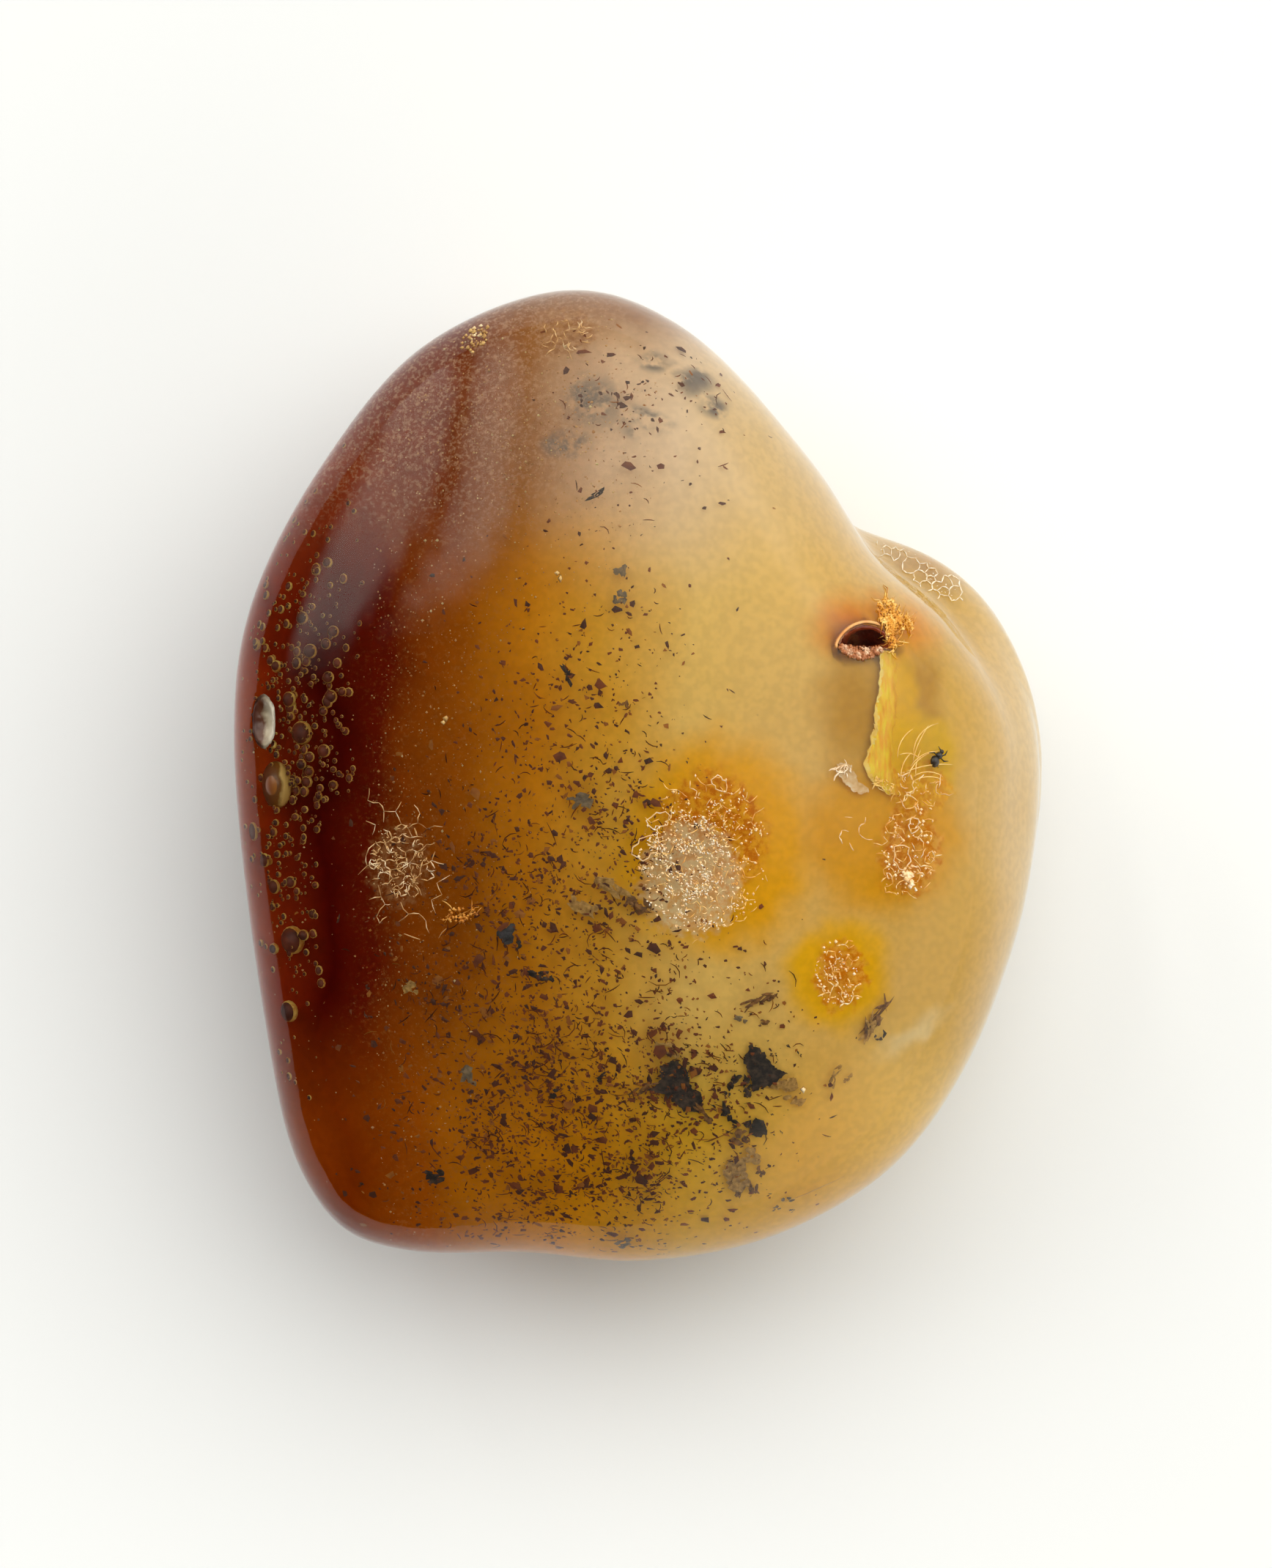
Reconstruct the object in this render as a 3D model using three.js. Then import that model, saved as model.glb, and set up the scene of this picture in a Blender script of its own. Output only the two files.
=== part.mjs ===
// A polished amber pebble, lying on its back: one solid with a large front lobe, a smaller
// rear lobe that shows past it at the upper right, and a crease where the two meet.
// Millimetres, +Z up. The origin is the middle of the box around the pebble, at its rest face.
import * as THREE from "three";
import { mergeVertices } from "three/addons/utils/BufferGeometryUtils.js";

// Overall size of the pebble
const WIDTH = 34.2;
const LENGTH = 41;
const THICKNESS = 17;

// Front lobe: the outline of its widest section, seen from above, clockwise from the top.
// The stretch from the crease to the right flank runs inside the rear lobe.
const FRONT_OUTLINE = [
  [-2.4, 20.5],
  [2.3, 18.9],
  [7.9, 13.2],
  [10.6, 9.3],
  [13.8, 6.6],
  [16.7, 2.2],
  [17.0, -2.4],
  [16.6, -7.0],
  [14.5, -12.4],
  [11.3, -16.6],
  [6.1, -19.5],
  [0.4, -20.5],
  [-4.5, -20.1],
  [-9.6, -20.0],
  [-12.4, -19.1],
  [-14.4, -16.3],
  [-15.7, -10.8],
  [-17.1, 1.9],
  [-16.4, 7.1],
  [-13.3, 13.1],
  [-8.8, 18.2],
];
const OUTLINE_SAMPLES = 720;
const FRONT_LEVEL = 8.6; // height of the widest section above the rest face
const FRONT_LEAN = new THREE.Vector2(-0.09, 0.03); // slope of the widest section along X and Y
const FRONT_RISE = 8.3; // from the widest section to the top of the dome, at the middle
const RISE_LEAN = 0.15; // how much more rise for each millimetre to the right: the left is thin
const BACK_BELOW = 0.35; // how far the back would reach below the rest face, if not cut flat
const DOME_POWER = 2.6; // over 2 makes the front flatter than an ellipse
const BACK_POWER = 2.4;
const EVEN_SHARE = 0.45; // inside this share of the outline, the dome is an even oval

// Rear lobe: a leaning, blunt ellipsoid, low at the crease and level with the front lobe at the right
const REAR_CENTRE = new THREE.Vector3(9.0, 1.2, 5.2);
const REAR_RADII = new THREE.Vector3(8.3, 9.2, 4.6);
const REAR_LEAN = new THREE.Vector2(0.16, -0.22);
const REAR_POWER = 2.3; // over 2 makes its end blunter than an ellipse
const CREASE_BLEND = 1.6;

// Wide, shallow swells (positive) and hollows (negative) of the polished front
const FRONT_SWELLS = [
  { x: -1.5, y: 11.0, reach: 7.0, height: 0.5 },
  { x: 4.0, y: -6.0, reach: 9.0, height: 0.35 },
  { x: 12.8, y: 1.6, reach: 4.5, height: -0.45 },
  { x: -11.5, y: -2.0, reach: 6.0, height: -0.4 },
];

// Mesh: each edge of an icosahedron is divided into this many steps
const EDGE_STEPS = 19;
const STEPS_TO_SURFACE = 40;

// The radius of the front lobe's outline at any bearing about the Z axis.
function outlineRadius() {
  const points = FRONT_OUTLINE.map(([x, y]) => new THREE.Vector3(x, y, 0));
  const curve = new THREE.CatmullRomCurve3(points, true, "centripetal");
  const samples = curve
    .getPoints(OUTLINE_SAMPLES)
    .slice(1)
    .map((p) => ({ bearing: Math.atan2(p.y, p.x), radius: Math.hypot(p.x, p.y) }))
    .sort((a, b) => a.bearing - b.bearing);
  const first = samples[0];
  const last = samples[samples.length - 1];
  samples.unshift({ bearing: last.bearing - 2 * Math.PI, radius: last.radius });
  samples.push({ bearing: first.bearing + 2 * Math.PI, radius: first.radius });
  return (bearing) => {
    const next = samples.findIndex((s) => s.bearing >= bearing);
    const a = samples[Math.max(next - 1, 0)];
    const b = samples[Math.max(next, 1)];
    const share = (bearing - a.bearing) / (b.bearing - a.bearing);
    return THREE.MathUtils.lerp(a.radius, b.radius, share);
  };
}

const frontRadius = outlineRadius();

// The front lobe's radius at a bearing: that of an even oval near the middle, and that of the
// outline at the flank, so that the outline's corners don't run up over the dome as ridges.
function sectionRadius(bearing, reach) {
  const outline = frontRadius(bearing);
  const oval = 0.5 / Math.hypot(Math.cos(bearing) / WIDTH, Math.sin(bearing) / LENGTH);
  const share = THREE.MathUtils.smoothstep(reach / outline, EVEN_SHARE, 1);
  return THREE.MathUtils.lerp(oval, outline, share);
}

// How far the front swells out or sinks in over the point (x, y).
function swellAt(x, y) {
  return FRONT_SWELLS.reduce((sum, s) => {
    const away = ((x - s.x) ** 2 + (y - s.y) ** 2) / s.reach ** 2;
    return sum + s.height * Math.exp(-away);
  }, 0);
}

// Each field is about the distance in millimetres to its lobe's surface, negative inside.
function frontField(p) {
  const level = FRONT_LEVEL + FRONT_LEAN.x * p.x + FRONT_LEAN.y * p.y;
  const height = p.z - level;
  const above = height > 0;
  const power = above ? DOME_POWER : BACK_POWER;
  const rise = FRONT_RISE + RISE_LEAN * p.x + swellAt(p.x, p.y);
  const half = above ? rise : level + BACK_BELOW;
  const reach = Math.hypot(p.x, p.y);
  const across = reach / sectionRadius(Math.atan2(p.y, p.x), reach);
  const sum = across ** power + (Math.abs(height) / half) ** power;
  return (sum ** (1 / power) - 1) * half;
}

function rearField(p) {
  const d = p.clone().sub(REAR_CENTRE);
  d.z -= REAR_LEAN.x * d.x + REAR_LEAN.y * d.y;
  d.divide(REAR_RADII);
  const sum = d.toArray().reduce((total, part) => total + Math.abs(part) ** REAR_POWER, 0);
  return (sum ** (1 / REAR_POWER) - 1) * REAR_RADII.z;
}

// The lesser of two fields, with a fillet of about the given size where they cross.
function smoothMin(a, b, blend) {
  const share = Math.max(blend - Math.abs(a - b), 0) / blend;
  return Math.min(a, b) - (share * share * blend) / 4;
}

// The whole pebble: both lobes joined, and cut flat at z = 0 where it rests.
function pebbleField(p) {
  return Math.max(smoothMin(frontField(p), rearField(p), CREASE_BLEND), -p.z);
}

// The distance from start, along a unit direction, to the pebble's surface.
function distanceToSurface(start, direction) {
  let inside = 0;
  let outside = LENGTH;
  for (let i = 0; i < STEPS_TO_SURFACE; i += 1) {
    const middle = (inside + outside) / 2;
    const here = start.clone().addScaledVector(direction, middle);
    if (pebbleField(here) < 0) inside = middle;
    else outside = middle;
  }
  return inside;
}

// An icosphere whose vertices are sent out from the pebble's middle to its surface.
function pebbleGeometry() {
  const sphere = new THREE.IcosahedronGeometry(1, EDGE_STEPS - 1);
  sphere.deleteAttribute("normal");
  sphere.deleteAttribute("uv");
  const geometry = mergeVertices(sphere);
  const middle = new THREE.Vector3(0, 0, FRONT_LEVEL);
  const halfSize = new THREE.Vector3(WIDTH, LENGTH, THICKNESS).divideScalar(2);
  const position = geometry.getAttribute("position");
  const point = new THREE.Vector3();
  for (let i = 0; i < position.count; i += 1) {
    const direction = point.fromBufferAttribute(position, i).multiply(halfSize).normalize();
    const reach = distanceToSurface(middle, direction);
    const surface = middle.clone().addScaledVector(direction, reach);
    position.setXYZ(i, surface.x, surface.y, Math.max(surface.z, 0));
  }
  return geometry;
}

// Brings the pebble to its overall size, over the origin and resting on z = 0.
function toOverallSize(geometry) {
  geometry.computeBoundingBox();
  const size = geometry.boundingBox.getSize(new THREE.Vector3());
  const middle = geometry.boundingBox.getCenter(new THREE.Vector3());
  geometry.translate(-middle.x, -middle.y, -geometry.boundingBox.min.z);
  geometry.scale(WIDTH / size.x, LENGTH / size.y, THICKNESS / size.z);
  geometry.computeVertexNormals();
  return geometry;
}

function amberMaterial() {
  return new THREE.MeshStandardMaterial({
    color: new THREE.Color(0.6, 0.37, 0.12),
    roughness: 0.12,
    metalness: 0,
  });
}

const amber = new THREE.Mesh(toOverallSize(pebbleGeometry()), amberMaterial());
amber.name = "amber";

const piece = new THREE.Group();
piece.name = "amber_piece";
piece.add(amber);

export default piece;
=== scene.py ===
import math

import bmesh
import bpy
import numpy as np
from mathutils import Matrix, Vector, noise
from mathutils.bvhtree import BVHTree
from mathutils.geometry import delaunay_2d_cdt


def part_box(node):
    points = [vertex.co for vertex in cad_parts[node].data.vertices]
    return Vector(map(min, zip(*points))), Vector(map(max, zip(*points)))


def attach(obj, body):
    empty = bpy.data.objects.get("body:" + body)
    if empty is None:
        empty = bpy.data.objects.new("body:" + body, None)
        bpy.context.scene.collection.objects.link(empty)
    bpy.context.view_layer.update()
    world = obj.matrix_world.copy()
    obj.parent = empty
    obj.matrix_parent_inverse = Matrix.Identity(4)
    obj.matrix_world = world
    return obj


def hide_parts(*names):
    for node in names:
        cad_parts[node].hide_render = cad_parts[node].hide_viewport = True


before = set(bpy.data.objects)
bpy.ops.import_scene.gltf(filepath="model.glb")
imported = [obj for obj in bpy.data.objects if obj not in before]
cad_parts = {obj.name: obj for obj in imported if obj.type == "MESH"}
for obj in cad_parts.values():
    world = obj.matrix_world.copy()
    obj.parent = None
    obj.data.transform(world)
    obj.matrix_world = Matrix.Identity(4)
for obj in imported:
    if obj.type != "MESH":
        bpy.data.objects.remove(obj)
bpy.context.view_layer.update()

# The looks of a polished amber pebble: a clear skin over cloudy amber, scraps of plant and bubbles
# sealed in between, and crusts on the front. Sizes are in millimetres and angles in degrees, unless
# said otherwise.
MM = 0.001
NODE = "amber"
BODY = "root"
LOW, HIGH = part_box(NODE)
LENGTH = HIGH.y - LOW.y
rng = np.random.default_rng(41)

# Camera: straight above the polished front, framed as in the photograph
IMAGE_PX = (1736, 2140)
LENGTH_PX = 1324
CENTRE_PX = (875, 1060)
CAMERA_HEIGHT = 260 * MM
OUTLINE_LEVEL = 8.6 * MM
CLIP_START = 10 * MM
SENSOR_MM = 24

# Studio light, by direction: a large soft key at the upper right, a low fill at the right and the
# lower right, a dim overhead, a dark left and bottom, and two windows at the upper left. A zenith is
# from straight up and a bearing round from +X. Edges and spans are of a unit direction's X, Y and Z.
KEY = {"zenith": 40, "bearing": 60, "inner": 24, "outer": 48, "light": 2.25}
FILL = {"bearing": -15, "edges": (0.1, 0.6), "rise": (0.45, 0.7), "light": 1.5}
OVERHEAD_LIGHT = 0.2
LEFT_LIGHT = 0.03
LEFT_EDGES = (-0.5, 0.0)
BOTTOM_SHARE = 0.3
BOTTOM_EDGES = (-0.85, -0.35)
LIGHT_COLOUR = (1.0, 0.96, 0.86, 1)
# Each window leans by lean in X for each Y
WINDOWS = [
    {"x": (-0.8, -0.585), "y": (0.12, 0.9), "lean": 0.15, "light": 3.3},
    {"x": (-0.51, -0.4), "y": (0.14, 0.9), "lean": 0.16, "light": 3.3},
]
WINDOW_SOFT = {"x": 0.04, "y": 0.1}
HORIZON = (-0.02, 0.05)

# Floor, in metres
FLOOR_SIZE = 3
FLOOR_TONES = ((0.87, 0.91, 0.975, 1), (0.89, 0.93, 0.99, 1))

# Polished amber: the sheen is a grey that dims the mirror image on its front
AMBER_IOR = 1.54
SHEEN = (0.38, 0.38, 0.38, 1)
ABSORB_COLOUR = (0.86, 0.66, 0.2, 1)
ABSORB_DENSITY = 150
# Its roughness wanders between these, and slight waves are left by the polishing
SKIN_ROUGHNESS = (0.02, 0.07)
SKIN_WAVES = {"Strength": 0.06, "Distance": 0.2 * MM}
# The shares of the light from under a polished skin that it lets out and throws back in
LET_OUT = 0.37
THROWN_BACK = 0.6
BRIGHTEST = 0.92

# Rays to the surface start this far out
FAR = 40.0
# Small things are left out where the skin's normal has less Z than this
LEAST_RISE = 0.3
# The skin turns from flank to front as its normal's Z goes from the first of these to the second
FRONT_EDGES = (0.05, 0.15)
# Faces of the skin within this share of the hole are divided by so many cuts
HOLE_REACH = 1.25
HOLE_CUTS = 3


def oval(at, half, turn=0, bend=0):
    """A place on the front: its middle, half sizes and turn, and how far its ends bend down."""
    return {"at": at, "half": half, "turn": turn, "bend": bend}


def pit(at, half, depth, turn=0, bend=0, wall=0.9):
    """A pit in the front: an oval, its depth, and the share of it that is wall."""
    return {**oval(at, half, turn, bend), "depth": depth, "wall": wall}


PITS = {
    "big": pit((2.73, -3.1), (2.5, 3.2), 0.12),
    "small": pit((8.11, -8.14), (0.98, 1.42), 0.1, turn=8),
    "right": pit((10.95, -3.0), (1.2, 1.9), 0.1, turn=-8),
    "hole": pit((9.29, 5.76), (1.12, 0.46), 1.5, bend=0.3, wall=0.5),
    "crater": pit((-15.7, 2.3), (0.5, 1.1), 0.45, wall=0.8),
}
# Crusted places without a pit
PATCHES = {
    "pale": oval((1.95, -3.9), (2.1, 2.6), 25),
    "wisps": oval((8.8, -2.2), (0.75, 0.9)),
    "left": oval((-9.9, -3.6), (1.15, 1.5), 15),
    "left_wide": oval((-9.7, -4.1), (1.7, 3.6), 12),
    "top": oval((-3.1, 18.2), (1.0, 0.85)),
    "groove": oval((12.0, 9.0), (2.2, 1.0), -34),
    "fan": oval((11.4, -0.5), (1.15, 0.8), -15),
}


def srgb(red, green, blue):
    """A colour read off the photograph, 0 to 255, as linear light."""
    def linear(level):
        share = level / 255
        if share <= 0.04045:
            return share / 12.92
        return ((share + 0.055) / 1.055) ** 2.4
    return (linear(red), linear(green), linear(blue), 1)


def under_skin(red, green, blue):
    """The matt colour that shows as this one of the photograph through a polished skin."""
    seen = srgb(red, green, blue)[:3]
    return (*(min(level / (LET_OUT + THROWN_BACK * level), BRIGHTEST) for level in seen), 1)


class Graph:
    """Short ways to add nodes to a tree. A plain number or colour is set on the socket itself."""

    def __init__(self, tree):
        self.tree = tree

    def add(self, kind, inputs=None, **settings):
        made = self.tree.nodes.new(kind)
        for name, value in settings.items():
            setattr(made, name, value)
        for name, value in (inputs or {}).items():
            self.put(made.inputs[name], value)
        return made

    def put(self, socket, value):
        if isinstance(value, bpy.types.NodeSocket):
            self.tree.links.new(value, socket)
        else:
            socket.default_value = value

    def math(self, operation, a, b):
        return self.add("ShaderNodeMath", {0: a, 1: b}, operation=operation).outputs[0]

    def times(self, a, b):
        return self.math("MULTIPLY", a, b)

    def plus(self, a, b):
        return self.math("ADD", a, b)

    def vector(self, operation, a, b=(0, 0, 0)):
        made = self.add("ShaderNodeVectorMath", {0: a, 1: b}, operation=operation)
        scalar = operation in ("LENGTH", "DOT_PRODUCT")
        return made.outputs["Value" if scalar else "Vector"]

    def noise(self, coords, scale, detail=3.0, roughness=0.55):
        inputs = {"Vector": coords, "Scale": scale, "Detail": detail, "Roughness": roughness}
        return self.add("ShaderNodeTexNoise", inputs).outputs["Fac"]

    def step(self, value, low, high, start=0.0, end=1.0):
        """Goes smoothly from start, where value is low, to end, where it is high."""
        inputs = {"Value": value, "From Min": low, "From Max": high, "To Min": start, "To Max": end}
        made = self.add("ShaderNodeMapRange", inputs, interpolation_type="SMOOTHSTEP")
        return made.outputs["Result"]

    def mix(self, share, a, b):
        made = self.add("ShaderNodeMix", {0: share, 6: a, 7: b}, data_type="RGBA")
        return made.outputs[2]

    def ramp(self, value, low, high, stops):
        """A row of colours: stops are (place, colour), with places from low to high."""
        made = self.add("ShaderNodeValToRGB")
        inputs = {"Value": value, "From Min": low, "From Max": high}
        share = self.add("ShaderNodeMapRange", inputs)
        self.put(made.inputs["Fac"], share.outputs["Result"])
        elements = made.color_ramp.elements
        while len(elements) < len(stops):
            elements.new(0.5)
        for element, (place, colour) in zip(elements, stops):
            element.position = (place - low) / (high - low)
            element.color = colour
        return made.outputs["Color"]

    def millimetres(self):
        """The place on the piece, in millimetres of the row's frame."""
        coords = self.add("ShaderNodeTexCoord").outputs["Object"]
        return self.vector("MULTIPLY", coords, (1 / MM, 1 / MM, 1 / MM))

    def split(self, coords):
        return self.add("ShaderNodeSeparateXYZ", {0: coords}).outputs

    def join(self, x, y, z):
        return self.add("ShaderNodeCombineXYZ", {0: x, 1: y, 2: z}).outputs[0]

    def blob(self, coords, at, half, inner, strength, turn=0):
        """Strength inside an oval, even in its inner share, and nothing past its rim."""
        if turn:
            inputs = {"Vector": coords, "Center": (*at, 0), "Angle": -math.radians(turn)}
            coords = self.add("ShaderNodeVectorRotate", inputs, rotation_type="Z_AXIS").outputs[0]
        inputs = {
            0: coords,
            1: (1 / half[0], 1 / half[1], 1),
            2: (-at[0] / half[0], -at[1] / half[1], 0),
        }
        away = self.add("ShaderNodeVectorMath", inputs, operation="MULTIPLY_ADD").outputs["Vector"]
        return self.step(self.vector("LENGTH", away), inner, 1.0, strength, 0.0)


def new_material(name):
    material = bpy.data.materials.new(name)
    material.use_nodes = True
    graph = Graph(material.node_tree)
    return material, graph, material.node_tree.nodes["Principled BSDF"]


def set_finish(graph, shader, colour, roughness):
    graph.put(shader.inputs["Base Color"], colour)
    shader.inputs["Roughness"].default_value = roughness


def link(name, data):
    made = bpy.data.objects.new(name, data)
    bpy.context.scene.collection.objects.link(made)
    return made


def place_piece(name, mesh, smooth=True):
    """Makes a mesh a piece that rides with the pebble."""
    mesh.polygons.foreach_set("use_smooth", [smooth] * len(mesh.polygons))
    piece = link(name, mesh)
    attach(piece, BODY)
    return piece


class Shapes:
    """Collects many small shapes, in millimetres, into one piece."""

    def __init__(self):
        self.points = []
        self.faces = []
        self.slots = []

    def add(self, points, faces, slot=0):
        """Slot is one number for all the faces, or a list with one for each."""
        first = len(self.points)
        self.points.extend(tuple(p) for p in points)
        self.faces.extend(tuple(first + i for i in face) for face in faces)
        self.slots.extend(slot if isinstance(slot, list) else [slot] * len(faces))

    def piece(self, name, *materials, smooth=True):
        mesh = bpy.data.meshes.new(name)
        mesh.from_pydata([tuple(MM * c for c in p) for p in self.points], [], self.faces)
        for material in materials:
            mesh.materials.append(material)
        mesh.polygons.foreach_set("material_index", self.slots)
        place_piece(name, mesh, smooth)


def add_camera():
    across = LENGTH / LENGTH_PX
    data = bpy.data.cameras.new("camera")
    data.sensor_fit = "VERTICAL"
    data.sensor_height = SENSOR_MM
    data.lens = SENSOR_MM * (CAMERA_HEIGHT - OUTLINE_LEVEL) / (IMAGE_PX[1] * across)
    data.clip_start = CLIP_START
    camera = link("camera", data)
    right = (IMAGE_PX[0] / 2 - CENTRE_PX[0]) * across
    up = (CENTRE_PX[1] - IMAGE_PX[1] / 2) * across
    camera.location = (right, up, CAMERA_HEIGHT)
    bpy.context.scene.camera = camera


def direction(zenith, bearing):
    zenith, bearing = math.radians(zenith), math.radians(bearing)
    flat = math.sin(zenith)
    return (flat * math.cos(bearing), flat * math.sin(bearing), math.cos(zenith))


def add_surround():
    world = bpy.data.worlds.new("surround")
    bpy.context.scene.world = world
    world.use_nodes = True
    graph = Graph(world.node_tree)
    way = graph.add("ShaderNodeTexCoord").outputs["Generated"]
    x, y, z = graph.split(way)
    light = graph.step(x, *LEFT_EDGES, LEFT_LIGHT, OVERHEAD_LIGHT)
    light = graph.times(light, graph.step(y, *BOTTOM_EDGES, BOTTOM_SHARE, 1.0))
    towards = graph.vector("DOT_PRODUCT", way, direction(KEY["zenith"], KEY["bearing"]))
    edges = (math.cos(math.radians(KEY["outer"])), math.cos(math.radians(KEY["inner"])))
    light = graph.plus(light, graph.step(towards, *edges, 0.0, KEY["light"]))
    towards = graph.vector("DOT_PRODUCT", way, direction(90, FILL["bearing"]))
    fill = graph.step(towards, *FILL["edges"], 0.0, FILL["light"])
    fill = graph.times(fill, graph.step(z, *FILL["rise"], 1.0, 0.0))
    light = graph.plus(light, fill)
    for window in WINDOWS:
        slant = graph.math("SUBTRACT", x, graph.times(y, window["lean"]))
        slant = graph.plus(slant, 0.5 * window["lean"])
        glow = graph.step(z, *HORIZON, 0.0, window["light"])
        for axis, value in (("x", slant), ("y", y)):
            soft = WINDOW_SOFT[axis]
            low, high = window[axis]
            glow = graph.times(glow, graph.step(value, low - soft, low + soft))
            glow = graph.times(glow, graph.step(value, high - soft, high + soft, 1.0, 0.0))
        light = graph.plus(light, glow)
    background = world.node_tree.nodes["Background"]
    graph.put(background.inputs["Strength"], light)
    background.inputs["Color"].default_value = LIGHT_COLOUR


def add_floor():
    bpy.ops.mesh.primitive_grid_add(size=FLOOR_SIZE, x_subdivisions=8, y_subdivisions=8)
    floor = bpy.context.object
    floor.name = "floor"
    material, graph, shader = new_material("pale_floor")
    coords = graph.add("ShaderNodeTexCoord").outputs["Object"]
    set_finish(graph, shader, graph.mix(graph.noise(coords, 6.0), *FLOOR_TONES), 0.9)
    floor.data.materials.append(material)


def smooth_surface(levels):
    """The CAD solid's surface, welded and subdivided, as a new mesh."""
    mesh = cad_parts[NODE].data.copy()
    welded = bmesh.new()
    welded.from_mesh(mesh)
    bmesh.ops.remove_doubles(welded, verts=welded.verts, dist=MM / 1000)
    welded.to_mesh(mesh)
    welded.free()
    surface = link("surface", mesh)
    subdivision = surface.modifiers.new("subdivision", "SUBSURF")
    subdivision.levels = levels
    view = surface.evaluated_get(bpy.context.evaluated_depsgraph_get())
    fine = bpy.data.meshes.new_from_object(view)
    fine.materials.clear()
    bpy.data.objects.remove(surface)
    return fine


def read_vectors(items, name):
    flat = np.zeros(len(items) * 3, np.float32)
    items.foreach_get(name, flat)
    return flat.reshape(-1, 3).astype(float)


def sink(mesh, points, facing, depth):
    """Sets a mesh's points to these ones, moved in by a depth in millimetres."""
    sunk = points - facing * (depth * MM)[:, None]
    mesh.vertices.foreach_set("co", sunk.astype(np.float32).ravel())
    mesh.update()


def surface_tree(mesh):
    """A tree for finding places on a surface, in millimetres."""
    points = [tuple(p / MM) for p in read_vectors(mesh.vertices, "co")]
    return BVHTree.FromPolygons(points, [tuple(f.vertices) for f in mesh.polygons])


def front_at(x, y, side=1):
    """The place and normal of the polished front over (x, y), or of the back with side -1."""
    place, facing, _, _ = tree.ray_cast(Vector((x, y, side * FAR)), Vector((0, 0, -side)))
    return place, facing


def under(x, y, depth, side=1):
    """The point at a depth under the skin, and the skin's normal there, or None past the edge."""
    place, facing = front_at(x, y, side)
    if place is None or abs(facing.z) < LEAST_RISE:
        return None
    return place - facing * depth, facing


def smooth_share(value, low, high):
    share = np.clip((value - low) / (high - low), 0, 1)
    return share * share * (3 - 2 * share)


def uneven(x, y, z, scale=1.0, fineness=0.6, octaves=3):
    """A rough noise about 0."""
    return noise.fractal(Vector((x, y, z)) * scale, fineness, 2.0, octaves)


def oval_share(x, y, place):
    """How far (x, y) is from an oval's middle, as a share of the way to its rim."""
    turn = math.radians(place["turn"])
    dx = x - place["at"][0]
    dy = y - place["at"][1]
    u = (dx * math.cos(turn) + dy * math.sin(turn)) / place["half"][0]
    v = dy * math.cos(turn) - dx * math.sin(turn) + place["bend"] * u * u
    return np.hypot(u, v / place["half"][1])


def in_oval(place, u, v):
    """The (x, y) at shares u and v of an oval's half sizes."""
    turn = math.radians(place["turn"])
    dx = u * place["half"][0]
    dy = v * place["half"][1] - place["bend"] * u * u
    x = place["at"][0] + dx * math.cos(turn) - dy * math.sin(turn)
    y = place["at"][1] + dx * math.sin(turn) + dy * math.cos(turn)
    return x, y


def strewn(place, reach=1.0):
    """A random (x, y) in an oval, and its share of the way to the rim."""
    share = reach * math.sqrt(rng.random())
    angle = rng.uniform(0, 2 * math.pi)
    x, y = in_oval(place, share * math.cos(angle), share * math.sin(angle))
    return x, y, share


def dent_at(x, y, grow=1.0):
    """How far the skin is sunk at (x, y), in millimetres, with the pits grown by a share."""
    sunk = 0 * x
    for hollow in PITS.values():
        inwards = 1 - oval_share(x, y, hollow) / grow
        sunk = np.maximum(sunk, hollow["depth"] * smooth_share(inwards, 0, hollow["wall"]))
    return sunk


def clear_depth(x, y):
    """How deep the clear amber is over the cloudy amber, in millimetres."""
    left = smooth_share(-x, -3.0, 4.0)
    far_left = smooth_share(-x, 6.0, 12.0)
    top = smooth_share(y, 12.0, 18.0)
    return 0.4 + 0.5 * left + 0.6 * far_left + 0.2 * top


def refine(mesh, place):
    """Divides a mesh's faces more finely at an oval on the front."""
    fine = bmesh.new()
    fine.from_mesh(mesh)
    edges = set()
    for face in fine.faces:
        x, y = (c / MM for c in face.calc_center_median()[:2])
        if face.normal.z > 0 and oval_share(x, y, place) < HOLE_REACH:
            edges.update(face.edges)
    bmesh.ops.subdivide_edges(fine, edges=list(edges), cuts=HOLE_CUTS, use_grid_fill=True)
    fine.to_mesh(mesh)
    fine.free()


def add_skin():
    """The polished outside of the pebble, sunk in at the pits. Returns its mesh."""
    mesh = smooth_surface(2)
    refine(mesh, PITS["hole"])
    points = read_vectors(mesh.vertices, "co")
    facing = read_vectors(mesh.vertex_normals, "vector")
    front = smooth_share(facing[:, 2], *FRONT_EDGES)
    sink(mesh, points, facing, front * dent_at(points[:, 0] / MM, points[:, 1] / MM))
    mesh.materials.append(skin_material())
    skin = place_piece("amber_skin", mesh)
    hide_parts(NODE)
    return mesh


def skin_material():
    material, graph, shader = new_material("polished_amber")
    place = graph.millimetres()
    worn = graph.step(graph.noise(place, 0.5, 1), 0.35, 0.75, *SKIN_ROUGHNESS)
    graph.put(shader.inputs["Roughness"], worn)
    shader.inputs["Base Color"].default_value = (1, 1, 1, 1)
    shader.inputs["Transmission Weight"].default_value = 1
    shader.inputs["IOR"].default_value = AMBER_IOR
    shader.inputs["Specular Tint"].default_value = SHEEN
    inputs = {**SKIN_WAVES, "Height": graph.noise(place, 0.9, 0)}
    graph.put(shader.inputs["Normal"], graph.add("ShaderNodeBump", inputs).outputs["Normal"])
    inputs = {"Color": ABSORB_COLOUR, "Density": ABSORB_DENSITY}
    volume = graph.add("ShaderNodeVolumeAbsorption", inputs)
    output = material.node_tree.nodes["Material Output"]
    graph.put(output.inputs["Volume"], volume.outputs["Volume"])
    return material


# The cloudy amber swells and sinks by this share of the clear depth, in billows of about this size
BILLOW = 0.15
BILLOW_SIZE = 2.6 * MM


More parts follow.
